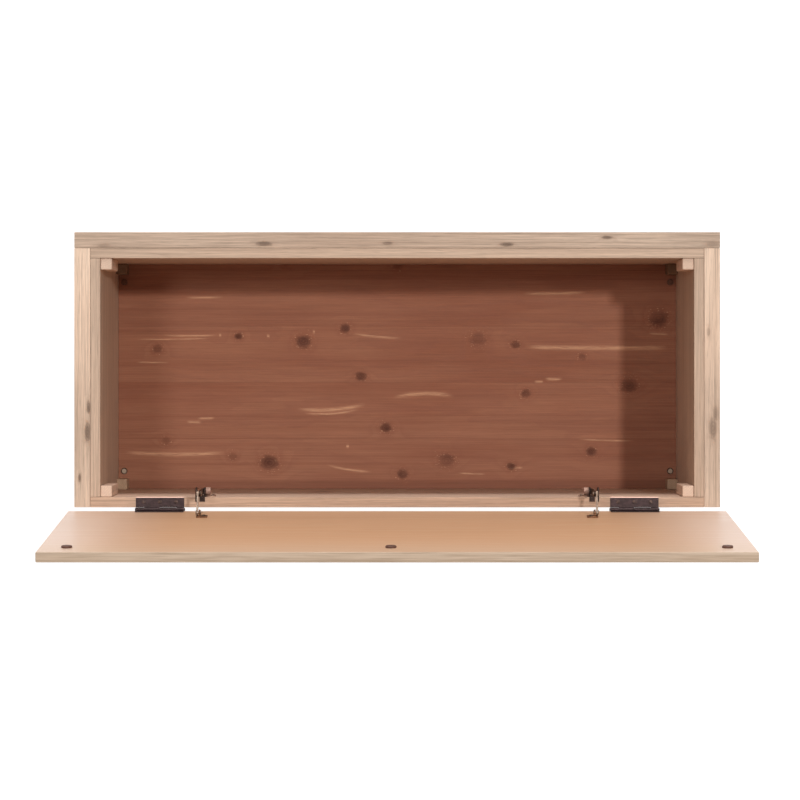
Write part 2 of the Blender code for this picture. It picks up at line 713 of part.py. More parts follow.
def make_arm(arm_axis, side, sign):
    """The arm, the damper shaft that turns with it, and the rivet at its far end."""
    plate(
        f"stay_arm_{side}", arm_axis, (sign * ARM_INSIDE, sign * ARM_OUTSIDE),
        [
            capsule((0.0, 0.0), ARM_VECTOR, STRIP_RADIUS),
            circle((0.0, 0.0), SHAFT_RADIUS + RUNNING),
            circle(ARM_VECTOR, RIVET_RADIUS + RUNNING),
        ],
        STAY_DARK,
    )
    under_head = ARM_OUTSIDE + SEAM
    top = under_head + SHAFT_HEAD_HEIGHT
    turned(
        f"stay_shaft_{side}", arm_axis, (0.0, 0.0, 0.0),
        [
            (0.0, top),
            (SHAFT_HEAD_RADIUS * 0.8, top - SHAFT_HEAD_HEIGHT / 6),
            (SHAFT_HEAD_RADIUS, top - SHAFT_HEAD_HEIGHT / 2),
            (SHAFT_HEAD_RADIUS, under_head),
            (SHAFT_RADIUS, under_head),
            (SHAFT_RADIUS, DAMPER_OUTSIDE - SHAFT_DEPTH),
            (0.0, DAMPER_OUTSIDE - SHAFT_DEPTH),
        ],
        STAY_STEEL, tilt_y=sign * math.pi / 2,
    )
    rivet(f"stay_arm_rivet_{side}", arm_axis, ARM_VECTOR, sign, ARM_INSIDE, LINK_OUTSIDE)


def make_link(link_axis, side, sign):
    plate(
        f"stay_link_{side}", link_axis, (sign * LINK_INSIDE, sign * LINK_OUTSIDE),
        [
            capsule((0.0, 0.0), LINK_VECTOR, STRIP_RADIUS),
            circle((0.0, 0.0), RIVET_RADIUS + RUNNING),
            circle(LINK_VECTOR, RIVET_RADIUS + RUNNING),
        ],
        STAY_STEEL,
    )


def make_lid_bracket(lid_axis, side, sign):
    """A foot screwed under the lid, with an ear and a rivet for the link."""
    face = LID_FACE - SEAT
    pivot_y, pivot_z = LID_PIVOT_CLOSED
    bracket = block(
        f"stay_lid_bracket_{side}", lid_axis,
        (sign * (EAR_INSIDE - LID_FOOT_REACH), sign * LINK_OUTSIDE),
        (pivot_y - LID_FOOT_DEPTH / 2, pivot_y + LID_FOOT_DEPTH / 2), (face - STAY_SHEET, face),
        STAY_DARK,
    )
    join(bracket, plate(
        f"stay_ear_{side}", lid_axis, (sign * EAR_INSIDE, sign * EAR_OUTSIDE),
        [lug(LID_PIVOT_CLOSED, STRIP_RADIUS, face - STAY_SHEET / 2 - pivot_z)], None,
    ))
    cut(bracket, rod(
        f"stay_ear_bore_{side}", lid_axis, (sign * (EAR_INSIDE - OVERLAP), *LID_PIVOT_CLOSED),
        (sign * (EAR_OUTSIDE + OVERLAP), *LID_PIVOT_CLOSED), RIVET_RADIUS + RUNNING,
    ))
    screw_x = sign * (EAR_INSIDE - LID_FOOT_REACH / 2)
    for index in (-1, 1):
        screw_y = pivot_y + index * LID_FOOT_SCREW_SPACING / 2
        cut(bracket, rod(
            f"stay_lid_hole_{side}_{index}", lid_axis, (screw_x, screw_y, face - STAY_SHEET - OVERLAP),
            (screw_x, screw_y, face + OVERLAP), SCREW_RADIUS,
        ))
    rivet(f"stay_lid_rivet_{side}", lid_axis, LID_PIVOT_CLOSED, sign, EAR_INSIDE, LINK_OUTSIDE)


def make_stays(chest, lid_axis):
    """A damped stay on each side, mirrored about the chest's middle."""
    for side, sign in SIDES.items():
        pivot = make_wall_bracket(chest, side, sign)
        arm_axis = axis_empty(f"arm_axis_{side}", chest, (0.0, *pivot))
        make_arm(arm_axis, side, sign)
        link_axis = axis_empty(f"link_axis_{side}", arm_axis, (0.0, *ARM_VECTOR))
        make_link(link_axis, side, sign)
        make_lid_bracket(lid_axis, side, sign)


# ---- The chest --------------------------------------------------------------------------

storage_chest = axis_empty("storage_chest_origin", None, (0.0, -BOX_CENTRE_Y, 0.0))
lid_hinge_axis = axis_empty("lid_hinge_axis", storage_chest, (0.0, AXIS_Y, AXIS_Z), -OPEN_ANGLE)

make_carcass(storage_chest)
make_corner_blocks(storage_chest)
make_floor(storage_chest)
make_feet(storage_chest)
make_lid(lid_hinge_axis)
make_hinges(storage_chest, lid_hinge_axis)
make_stays(storage_chest, lid_hinge_axis)
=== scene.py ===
"""Looks for the cedar-lined storage chest: woods, metals, screws, light and the camera.

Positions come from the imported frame. Grain, knots and streaks are worked out by shader nodes
from each board's own coordinates, in metres, so they stay with the board in every pose.
"""

import json
import math

import bmesh
import bpy
from mathutils import Matrix, Vector


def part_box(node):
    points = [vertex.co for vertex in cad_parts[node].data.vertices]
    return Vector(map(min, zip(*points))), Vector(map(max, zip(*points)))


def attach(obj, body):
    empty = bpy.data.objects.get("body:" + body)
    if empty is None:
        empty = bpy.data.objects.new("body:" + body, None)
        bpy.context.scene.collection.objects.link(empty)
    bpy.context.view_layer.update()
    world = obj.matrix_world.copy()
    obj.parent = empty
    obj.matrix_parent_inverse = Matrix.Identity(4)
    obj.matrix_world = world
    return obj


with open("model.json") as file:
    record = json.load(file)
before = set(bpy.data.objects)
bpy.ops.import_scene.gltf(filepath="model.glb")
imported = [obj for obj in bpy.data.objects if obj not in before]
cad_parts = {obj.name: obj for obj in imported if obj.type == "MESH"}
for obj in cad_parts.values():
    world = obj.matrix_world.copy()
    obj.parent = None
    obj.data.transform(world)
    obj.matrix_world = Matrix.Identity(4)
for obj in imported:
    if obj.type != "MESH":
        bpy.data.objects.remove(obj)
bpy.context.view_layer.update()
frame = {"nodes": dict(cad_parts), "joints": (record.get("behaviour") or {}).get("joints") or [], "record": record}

NODES = frame["nodes"]
SIDES = {"left": -1, "right": 1}
JOINTS = {joint["name"]: joint for joint in frame["joints"]}

# ---- Places, all from the frame ---------------------------------------------------------


X, Y, Z = 0, 1, 2


def span(node, axis):
    """A CAD node's lowest and highest coordinate on one axis."""
    low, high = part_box(node)
    return low[axis], high[axis]


FRONT_Y = span("front_outer_panel", Y)[0]
BACK_Y = span("rear_panel", Y)[1]
RIM_Z = span("front_outer_panel", Z)[1]
MIDDLE_Y = (FRONT_Y + BACK_Y) / 2
HINGE_AXIS = Vector(JOINTS["lid_hinge"]["pos_m"])
OPEN_ANGLE = math.radians(JOINTS["lid_hinge"]["range_deg"][1])

# A closed lid's coordinates, from the hinge axis, turned to where the lid rests open
LID_PLACE = Matrix.Translation(HINGE_AXIS) @ Matrix.Rotation(-OPEN_ANGLE, 4, "X")

# ---- Camera, light and floor ------------------------------------------------------------

CAMERA_ABOVE_RIM = 5.037
CAMERA_FROM_MIDDLE_Y = -0.0153
LENS = 144.1
SENSOR = 36.0
SHIFT = (0.0035, -0.050)

# The lamps' strengths, and where they stand. Tilts and leans are angles off the vertical.
KEY = 1.17
KEY_TILT = math.radians(15.9)
KEY_LEAN = math.radians(8.6)
FILL = 0.56
FILL_TILT = math.radians(14.0)
FILL_SLOPE = 0.10
FRONT = 1.35
FRONT_SLOPE = 0.30

SKY = 0.28
FLOOR_GREY = 0.35
FLOOR_GLOW = 0.90
FLOOR_HALF_SIDE = 12.0
FLOOR_BELOW_FEET = 0.0005


def make_camera():
    """Straight above the open chest, with the chest's front at the top of the picture."""
    data = bpy.data.cameras.new("camera")
    data.lens = LENS
    data.sensor_width = SENSOR
    data.shift_x, data.shift_y = SHIFT
    data.clip_end = 60.0
    camera = bpy.data.objects.new("camera", data)
    bpy.context.scene.collection.objects.link(camera)
    camera.location = (0.0, MIDDLE_Y + CAMERA_FROM_MIDDLE_Y, RIM_Z + CAMERA_ABOVE_RIM)
    camera.rotation_euler = (0.0, 0.0, math.pi)
    bpy.context.scene.camera = camera


def make_sun(name, towards, energy, angle, tint):
    """A distant soft lamp. towards points from the chest to the lamp, and angle is in degrees."""
    data = bpy.data.lights.new(name, "SUN")
    data.energy = energy
    data.angle = math.radians(angle)
    data.color = tint
    lamp = bpy.data.objects.new(name, data)
    bpy.context.scene.collection.objects.link(lamp)
    lamp.rotation_euler = Vector(towards).to_track_quat("Z", "Y").to_euler()


def make_stage():
    """A white floor that glows a little, under a white sky."""
    key_from = (-math.tan(KEY_TILT), -math.tan(KEY_LEAN), 1.0)
    fill_from = (math.tan(FILL_TILT), -FILL_SLOPE, 1.0)
    front_from = (0.0, -1.0, FRONT_SLOPE)
    make_sun("key_light", key_from, KEY, 3.0, (1.0, 0.985, 0.965))
    make_sun("fill_light", fill_from, FILL, 9.0, (1.0, 0.99, 0.98))
    make_sun("front_light", front_from, FRONT, 12.0, (1.0, 0.98, 0.96))
    world = bpy.data.worlds.new("studio")
    world.use_nodes = True
    sky = world.node_tree.nodes["Background"]
    sky.inputs["Color"].default_value = (1.0, 1.0, 1.0, 1.0)
    sky.inputs["Strength"].default_value = SKY
    bpy.context.scene.world = world

    shape = bmesh.new()
    bmesh.ops.create_grid(shape, x_segments=1, y_segments=1, size=FLOOR_HALF_SIDE)
    mesh = bpy.data.meshes.new("studio_floor")
    shape.to_mesh(mesh)
    shape.free()
    floor = bpy.data.objects.new("studio_floor", mesh)
    floor.location.z = -FLOOR_BELOW_FEET
    bpy.context.scene.collection.objects.link(floor)
    paint = bpy.data.materials.new("studio_floor")
    paint.use_nodes = True
    shader = paint.node_tree.nodes["Principled BSDF"]
    shader.inputs["Base Color"].default_value = (FLOOR_GREY, FLOOR_GREY, FLOOR_GREY, 1.0)
    shader.inputs["Roughness"].default_value = 0.9
    shader.inputs["Emission Color"].default_value = (1.0, 1.0, 1.0, 1.0)
    shader.inputs["Emission Strength"].default_value = FLOOR_GLOW
    mesh.materials.append(paint)
    bpy.context.scene.view_settings.view_transform = "Standard"


# ---- Fields: numbers that vary over a surface -------------------------------------------


def feed(tree, value, slot):
    """Puts a field, a socket or a plain value into a node's input."""
    if isinstance(value, Field):
        tree.links.new(value.socket, slot)
    elif isinstance(value, bpy.types.NodeSocket):
        tree.links.new(value, slot)
    else:
        slot.default_value = value


class Field:
    """A number that varies over a surface. Arithmetic on it adds Math nodes to its tree."""

    def __init__(self, tree, socket):
        self.tree = tree
        self.socket = socket

    def math(self, operation, *others):
        node = self.tree.nodes.new("ShaderNodeMath")
        node.operation = operation
        for slot, value in zip(node.inputs, (self, *others)):
            feed(self.tree, value, slot)
        return Field(self.tree, node.outputs[0])

    def __add__(self, other):
        return self.math("ADD", other)

    def __sub__(self, other):
        return self.math("SUBTRACT", other)

    def __mul__(self, other):
        return self.math("MULTIPLY", other)

    def __neg__(self):
        return self.math("MULTIPLY", -1.0)

    def least(self, other):
        return self.math("MINIMUM", other)

    def most(self, other):
        return self.math("MAXIMUM", other)

    def step(self, low, high, to_low=0.0, to_high=1.0):
        """Smoothly from to_low, where the field is low, to to_high, where it is high."""
        node = self.tree.nodes.new("ShaderNodeMapRange")
        node.interpolation_type = "SMOOTHSTEP"
        for slot, value in zip(node.inputs, (self, low, high, to_low, to_high)):
            feed(self.tree, value, slot)
        return Field(self.tree, node.outputs[0])


def vector(tree, x, y, z):
    node = tree.nodes.new("ShaderNodeCombineXYZ")
    for slot, value in zip(node.inputs, (x, y, z)):
        feed(tree, value, slot)
    return node.outputs[0]


def noise(tree, x, y, z, detail=2.0, roughness=0.5):
    """Fractal noise from 0 to 1, with features about one unit across."""
    node = tree.nodes.new("ShaderNodeTexNoise")
    tree.links.new(vector(tree, x, y, z), node.inputs["Vector"])
    node.inputs["Scale"].default_value = 1.0
    node.inputs["Detail"].default_value = detail
    node.inputs["Roughness"].default_value = roughness
    return Field(tree, node.outputs["Fac"])


def linear(channel):
    """One display colour channel, 0 to 255, as scene-linear light."""
    value = channel / 255
    return value / 12.92 if value <= 0.04045 else ((value + 0.055) / 1.055) ** 2.4


def colour(red, green, blue):
    """A display colour, 0 to 255, as a scene-linear one."""
    return (linear(red), linear(green), linear(blue), 1.0)


def mixed(tree, factor, first, second, blend="MIX"):
    """first, turning to second where factor is 1. Colours are sockets or numbers."""
    node = tree.nodes.new("ShaderNodeMix")
    node.data_type = "RGBA"
    node.blend_type = blend
    feed(tree, factor, node.inputs["Factor"])
    feed(tree, first, node.inputs["A"])
    feed(tree, second, node.inputs["B"])
    return node.outputs["Result"]


def new_material(name):
    made = bpy.data.materials.new(name)
    made.use_nodes = True
    return made, made.node_tree, made.node_tree.nodes["Principled BSDF"]


def add_bump(tree, shader, height, strength, distance):
    """Relief from a field. distance is its depth in metres."""
    bump = tree.nodes.new("ShaderNodeBump")
    bump.inputs["Strength"].default_value = strength
    bump.inputs["Distance"].default_value = distance
    tree.links.new(height.socket, bump.inputs["Height"])
    tree.links.new(bump.outputs["Normal"], shader.inputs["Normal"])


def object_axes(tree):
    """The three object coordinates, which don't change with the pose."""
    node = tree.nodes.new("ShaderNodeTexCoord")
    split = tree.nodes.new("ShaderNodeSeparateXYZ")
    tree.links.new(node.outputs["Object"], split.inputs[0])
    return [Field(tree, socket) for socket in split.outputs]


# ---- Wood -------------------------------------------------------------------------------

# Axes of a board: along its grain, across its face and through its thickness
LENGTHWISE = (X, Z, Y)
CROSSWISE = (Y, Z, X)
UPRIGHT = (Z, X, Y)
FLAT = (X, Y, Z)

# Half widths of the glue line between two planks, where it starts and where it is darkest
JOINT_OUTSIDE = 0.0011
JOINT_INSIDE = 0.0003

# Widths of the planks in the walls, and of the strips in the cedar floor
WALL_PLANK = 0.127
CEDAR_STRIP = 0.094


class Timber:
    """The colours and the scale of one kind of wood.

    ring is the width of a year's growth, and wander is how far the ring centre strays, both
    in metres. contrast, fibre, streaks, blotch, joint and knotty say, from 0 to 1, how
    strongly the rings, the fine fibre, the streaks, the patches, the joints and the knots
    show. roughness and gloss are its surface's.
    """

    def __init__(
        self, early, late, streak, knot, ring, contrast, fibre, streaks, roughness,
        blotch=0.5, gloss=0.25, joint=0.35, wander=0.11, knotty=0.45,
    ):
        self.early = early
        self.late = late
        self.streak = streak
        self.knot = knot
        self.ring = ring
        self.contrast = contrast
        self.fibre = fibre
        self.streaks = streaks
        self.roughness = roughness
        self.blotch = blotch
        self.gloss = gloss
        self.joint = joint
        self.wander = wander
        self.knotty = knotty


def board_axes(node, axes):
    """A maker of a board's own fields: along, across, and through it from mid-thickness."""
    low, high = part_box(node)
    middle = (low[axes[2]] + high[axes[2]]) / 2

    def fields(tree):
        place = object_axes(tree)
        u, v, w = (place[axis] for axis in axes)
        return u, v, w - middle

    return fields


def lid_axes(tree):
    """Fields on the lid: along X, out from the hinge axis, and through it from its inner face."""
    x, y, z = object_axes(tree)
    outwards = LID_PLACE.to_3x3() @ Vector((0.0, -1.0, 0.0))
    through = LID_PLACE.to_3x3() @ Vector((0.0, 0.0, 1.0))
    y = y - HINGE_AXIS.y
    z = z - HINGE_AXIS.z
    return x, y * outwards.y + z * outwards.z, y * through.y + z * through.z


class Knot:
    """A knot at (along, across), or on a board's top edge at (along, depth, top)."""

    def __init__(self, along, across, radius, top=None, long=0.85):
        self.along = along
        self.across = across
        self.radius = radius
        self.top = top
        self.long = long

    def apart(self, u, v, w):
        """The square of the distance from the knot over its radius."""
        du = (u - self.along) * (self.long / self.radius)
        if self.top is None:
            dv = (v - self.across) * (1.0 / self.radius)
            return du * du + dv * dv
        dw = (w - self.across) * (1.0 / self.radius)
        dv = (v - self.top) * (0.35 / self.radius)
        return du * du + dw * dw + dv * dv


def knot_fields(u, v, w, knots, ring):
    """What the knots add to the growth rings, and how near the nearest one is."""
    push, nearest = None, None
    for knot in knots:
        apart = knot.apart(u, v, w)
        lift = (apart * -0.16).math("EXPONENT") * (ring * (1.2 + knot.radius * 110.0))
        push = lift if push is None else push + lift
        nearest = apart if nearest is None else nearest.least(apart)
    return push, nearest


def sapwood(tree, u, v, lines):
    """Pale lines of sapwood: each runs from one (along, across) to another, bowed by bow."""
    pale = None
    for (u0, v0), (u1, v1), width, bow in lines:
        part = (u - u0) * (1.0 / (u1 - u0))
        centre = part * (v1 - v0) + part * (-part + 1.0) * (4.0 * bow) + v0
        off = (v - centre) * (1.0 / width)
        core = (off * off * -1.0).math("EXPONENT")
        low, high = min(u0, u1), max(u0, u1)
        fade = min(0.03, (high - low) * 0.3)
        window = u.step(low, low + fade) * u.step(high - fade, high, 1.0, 0.0)
        line = core * window
        pale = line if pale is None else pale.most(line)
    broken = noise(tree, u * 42.0, v * 700.0, 0.0, 2.0, 0.6).step(0.32, 0.58, 0.30, 1.0)
    return pale * broken


def in_planks(v, planks, seed):
    """Which glued plank a point is in, its place across that plank, and where the joints are."""
    position = v * (1.0 / planks) + seed * 0.37
    row = position.math("FLOOR")
    within = position.math("FRACT")
    near_edge = (within - 0.5).math("ABSOLUTE")
    joint = near_edge.step(0.5 - JOINT_OUTSIDE / planks, 0.5 - JOINT_INSIDE / planks)
    across = (within - 0.5) * planks + (row * 2.4).math("SINE") * 0.03
    return row, across, joint


def draw_knots(tree, timber, place, shift, nearest, tone, grey):
    """The tone and greyness of a board after its knots are drawn, each with cracks and flecks."""
    u, v, w = place
    uneven = noise(tree, u * 95.0 + shift, v * 130.0, w * 130.0, 3.0, 0.65)
    nearest = nearest * (uneven * 2.4 - 0.2)
    bold = noise(tree, u * 11.0 + shift, v * 17.0, w * 17.0, 0.0).step(0.38, 0.60, 0.40, 1.0)
    core = nearest.step(2.3, 0.1) * bold
    eye = (nearest.math("SQRT") * 17.0).math("SINE") * 0.12 + 0.88
    tone = mixed(tree, nearest.step(7.0, 1.2, 0.0, 0.40), tone, timber.late)
    tone = mixed(tree, core * (uneven * 1.2 + 0.4) * timber.knotty, tone, timber.knot)
    flecks = noise(tree, u * 260.0, v * 620.0 + shift, w * 620.0, 2.0, 0.6).step(0.60, 0.68)
    around = nearest.step(0.5, 1.4) * nearest.step(4.5, 2.2)
    tone = mixed(tree, flecks * around * timber.knotty, tone, PALE_SAP)
    return tone, grey * (core * (eye - 1.0) + 1.0)


def wood(
    name, timber, fields, seed, knots=(), pith=(0.09, 0.05), planks=None, pale=(), shade=None,
    tints=None,
):
    """Solid wood: growth rings about a pith line beside the board, cut by its faces.

    fields gives the board's own coordinates, and pith is how far the ring centre lies across
    the board and behind it. planks is the width of boards glued side by side, or None. shade
    is (start, end, tone there, tone here): how the board's tone drifts along its length.
    tints makes pairs of a field and the colour that the board turns to where the field is 1.
    """
    made, tree, shader = new_material(name)
    u, v, w = fields(tree)
    shift = seed * 7.31
    u_wood, v_wood = u, v
    if planks:
        row, v_wood, joint = in_planks(v, planks, seed)
        u_wood = u + row * 3.17
    wander = noise(tree, u_wood * 1.6 + shift, v_wood * 2.0, w * 2.0 + shift, 1.0)
    ripple = noise(tree, u_wood * 5.0 + shift, v_wood * 26.0, w * 26.0 + shift, 2.0, 0.55)
    side = v_wood - pith[0] + (wander - 0.5) * timber.wander
    depth = w + pith[1]
    radius = (side * side + depth * depth).math("SQRT") + (ripple - 0.5) * (timber.ring * 2.4)
    if knots:
        push, nearest = knot_fields(u, v, w, knots, timber.ring)
        radius = radius + push
    year = (radius * (1.0 / timber.ring)).math("FRACT")
    late = year.step(0.35, 0.93) * year.step(0.93, 1.0, 1.0, 0.0)
    fibre = noise(tree, u_wood * 9.0 + shift, v_wood * 620.0, w * 620.0, 3.0, 0.6)
    pores = noise(tree, u_wood * 42.0 + shift, v_wood * 1500.0, w * 1500.0, 1.0, 0.5)
    blotch = noise(tree, u_wood * 2.2 + shift * 2, v_wood * 9.0, w * 9.0, 3.0, 0.6)
    bands = noise(tree, u_wood * 0.9 - shift, v_wood * 95.0 + shift, w * 95.0, 3.0, 0.65)

    tone = mixed(tree, late * timber.contrast, timber.early, timber.late)
    tone = mixed(tree, bands.step(0.46, 0.72, 0.0, timber.streaks), tone, timber.streak)
    tone = mixed(tree, blotch.step(0.42, 0.70, 0.0, timber.blotch), tone, timber.late)
    grey = fibre.step(0.30, 0.70, 1.0 - timber.fibre, 1.0 + timber.fibre * 0.4)
    grey = grey * pores.step(0.30, 0.46, 1.0 - timber.fibre * 0.8, 1.0)
    if planks:
        grey = grey * (-joint * timber.joint + 1.0) * ((row * 5.3).math("SINE") * 0.035 + 1.0)
    if shade:
        grey = grey * u.step(*shade)
    if pale:
        tone = mixed(tree, sapwood(tree, u, v, pale) * 0.80, tone, PALE_SAP)
    if tints:
        for amount, tint in tints(u, v, w):
            tone = mixed(tree, amount, tone, tint)
    if knots:
        tone, grey = draw_knots(tree, timber, (u, v, w), shift, nearest, tone, grey)
    tone = mixed(tree, 1.0, tone, vector(tree, grey, grey, grey), "MULTIPLY")
    tree.links.new(tone, shader.inputs["Base Color"])
    rough = late * -0.08 + timber.roughness + (fibre - 0.5) * 0.12
    tree.links.new(rough.socket, shader.inputs["Roughness"])
    shader.inputs["Specular IOR Level"].default_value = timber.gloss
    add_bump(tree, shader, grey + late * 0.35, 0.35, 0.0004)
    return made


def paint(node, made):
    """Gives a CAD node one material."""
    NODES[node].data.materials.clear()
    NODES[node].data.materials.append(made)


PALE_SAP = colour(216, 164, 128)

# Colours in each timber: early wood, late wood, streaks, and the heart of a knot
OUTER_TIMBER = Timber(
    colour(217, 191, 169), colour(186, 158, 137), colour(164, 139, 119), colour(98, 74, 58),
    ring=0.0046, contrast=0.22, fibre=0.24, streaks=0.60, roughness=0.60, blotch=0.62,
    wander=0.035, knotty=0.62,
)
INNER_TIMBER = Timber(
    colour(211, 183, 160), colour(193, 162, 139), colour(172, 143, 122), colour(124, 90, 68),
    ring=0.0050, contrast=0.30, fibre=0.20, streaks=0.50, roughness=0.58, wander=0.05,
)
REAR_TIMBER = Timber(
    colour(208, 175, 150), colour(184, 149, 126), colour(164, 130, 108), colour(118, 84, 62),
    ring=0.0048, contrast=0.30, fibre=0.22, streaks=0.50, roughness=0.58, wander=0.04,
)
BLOCK_TIMBER = Timber(
    colour(230, 200, 178), colour(214, 180, 156), colour(202, 168, 146), colour(150, 110, 80),
    ring=0.0030, contrast=0.50, fibre=0.10, streaks=0.20, roughness=0.66,
)
LOW_BLOCK_TIMBER = Timber(
    colour(190, 158, 130), colour(168, 134, 108), colour(150, 118, 94), colour(110, 80, 58),
    ring=0.0030, contrast=0.50, fibre=0.12, streaks=0.30, roughness=0.70,
)
# Painted shade: a darker copy of the lower blocks' timber for the front lower blocks, standing in for the front
# wall's shadow
PAINTED_SHADE_BLOCK_TIMBER = Timber(
    colour(138, 108, 84), colour(118, 88, 66), colour(104, 76, 56), colour(80, 56, 40),
    ring=0.0030, contrast=0.50, fibre=0.12, streaks=0.40, roughness=0.72,
)
LID_TIMBER = Timber(
    colour(216, 170, 132), colour(209, 162, 124), colour(206, 160, 124), colour(140, 96, 66),
    ring=0.0110, contrast=0.10, fibre=0.04, streaks=0.14, roughness=0.42, blotch=0.30, gloss=0.45,
    wander=0.05,
)
CEDAR_TIMBER = Timber(
    colour(163, 109, 84), colour(144, 88, 66), colour(127, 73, 54), colour(80, 40, 28),
    ring=0.0075, contrast=0.26, fibre=0.11, streaks=0.38, roughness=0.58, gloss=0.12, joint=0.10,
    blotch=0.70, knotty=0.66,
)
PLY_TIMBER = Timber(
    colour(222, 192, 156), colour(202, 168, 128), colour(196, 160, 124), colour(140, 100, 70),
    ring=0.0060, contrast=0.40, fibre=0.12, streaks=0.25, roughness=0.68,
)

# Knots in the cedar: along the chest, across it from its middle, and radius
CEDAR_KNOTS = [
    (0.401, -0.033, 0.0042), (0.266, -0.055, 0.0036), (0.157, -0.047, 0.0066),
    (0.087, -0.068, 0.0044), (0.061, 0.012, 0.0046), (-0.135, -0.050, 0.0072),
    (-0.198, -0.041, 0.0040), (-0.310, -0.020, 0.0034), (-0.388, 0.026, 0.0070),
    (-0.437, -0.085, 0.0080), (-0.216, 0.041, 0.0044), (0.019, 0.098, 0.0052),
    (0.387, 0.120, 0.0038), (0.275, 0.147, 0.0040), (0.214, 0.157, 0.0078),
    (-0.082, 0.154, 0.0070), (-0.191, 0.163, 0.0040), (-0.325, 0.138, 0.0046),
    (-0.009, 0.176, 0.0048), (-0.001, -0.174, 0.0046), (0.186, -0.178, 0.0036),
]

# Pale lines in the cedar: two ends, as for the knots, half width, and depth of the bow
CEDAR_PALE = [
    ((0.459, 0.139), (0.287, 0.140), 0.0022, 0.0030),
    ((-0.213, -0.037), (-0.457, -0.036), 0.0026, 0.0010),
    ((0.170, 0.066), (0.049, 0.058), 0.0024, 0.0060),
    ((0.010, 0.048), (-0.099, 0.046), 0.0024, -0.0060),
    ((0.357, -0.120), (0.288, -0.121), 0.0013, 0.0006),
    ((-0.207, -0.127), (-0.321, -0.129), 0.0018, 0.0012),
    ((0.354, 0.088), (0.326, 0.089), 0.0016, 0.0),
    ((0.336, 0.083), (0.304, 0.082), 0.0014, 0.0),
    ((-0.228, 0.021), (-0.246, 0.021), 0.0014, 0.0),
    ((-0.246, 0.016), (-0.278, 0.016), 0.0018, 0.0008),
    ((0.397, -0.057), (0.297, -0.057), 0.0012, 0.0012),
    ((-0.185, 0.166), (-0.212, 0.165), 0.0012, 0.0),
    ((-0.010, -0.052), (0.078, -0.060), 0.0014, 0.0016),
    ((-0.100, 0.174), (-0.150, 0.176), 0.0009, 0.0),
    ((0.120, 0.160), (0.040, 0.172), 0.0014, 0.0024),
    ((-0.300, 0.117), (-0.400, 0.120), 0.0009, 0.0008),
    ((0.439, -0.012), (0.380, -0.011), 0.0010, 0.0004),
    ((-0.419, -0.060), (-0.457, -0.058), 0.0012, 0.0),
    ((0.299, -0.057), (0.294, -0.057), 0.0018, 0.0),
    ((0.260, -0.056), (0.256, -0.055), 0.0014, 0.0),
    ((0.219, -0.056), (0.213, -0.055), 0.0018, 0.0),
    ((0.142, -0.063), (0.137, -0.062), 0.0020, 0.0),
    ((0.086, 0.129), (0.080, 0.129), 0.0020, 0.0),
    ((0.206, 0.153), (0.202, 0.154), 0.0016, 0.0),
    ((0.160, 0.073), (0.060, 0.066), 0.0013, 0.0050),
    ((0.440, -0.050), (0.310, -0.052), 0.0008, 0.0010),
]


# How much wider the knots and the pale lines are drawn than the two lists say
KNOT_SPREAD = 1.35
PALE_SPREAD = 1.25

# The side boards' tone near the front and near the back, and where one turns to the other
SIDE_SHADES = {"left": (1.38, 1.03), "right": (1.42, 1.02)}
SHADE_FROM = -0.10
SHADE_TO = 0.12


def rim_knots(places):
    """Knots that show on the top edge of a board: along it, depth from its middle, radius."""
    return [Knot(along, depth, radius, top=RIM_Z, long=0.32) for along, depth, radius in places]


def lid_tints(u, v, w):
    """The lid's inner veneer pales to its ends and free edge. Outside it has the walls' wood."""
    low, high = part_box("lid_panel")
    reach = high.z - HINGE_AXIS.z
    inside = w.step(0.003, 0.007, 1.0, 0.0)
    ends = u.math("ABSOLUTE").step(high.x - 0.20, high.x, 0.0, 0.75) * inside
    edge = v.step(reach - 0.16, reach, 0.0, 0.55) * inside
    outside = v.step(reach - 0.0016, reach - 0.0006).most(w.step(0.005, 0.009)) * 0.88
    fine = noise(u.tree, u * 14.0, v * 300.0, w * 420.0, 3.0, 0.6)
    broad = noise(u.tree, u * 1.2, v * 75.0, w * 300.0, 3.0, 0.65)
    grain = (fine * 0.5 + broad * 0.5).step(0.36, 0.62)
    oak = mixed(u.tree, grain, colour(182, 158, 134), colour(218, 194, 170))
    return [(ends, colour(224, 200, 186)), (edge, colour(216, 184, 156)), (outside, oak)]


def rear_painted_light(u, v, w):
    """Painted light: the rear board's inside is painted paler towards the rim, standing in for the light that
    falls on the wall's upper part.
    """
    below_rim = v.step(RIM_Z - 0.0012, RIM_Z - 0.0004, 1.0, 0.0)
    painted_wall_light = v.step(RIM_Z - 0.36, RIM_Z - 0.10) * below_rim
    return [(painted_wall_light * 0.8, colour(236, 206, 184))]


def cedar_painted_shade(u, v, w):
    """Painted shade: the cedar is painted darker along the rear wall, where the wall's contact shadow falls."""
    wall = span("rear_panel", Y)[0]
    return [(v.step(wall - 0.018, wall - 0.011, 0.0, 0.45), colour(112, 66, 48))]


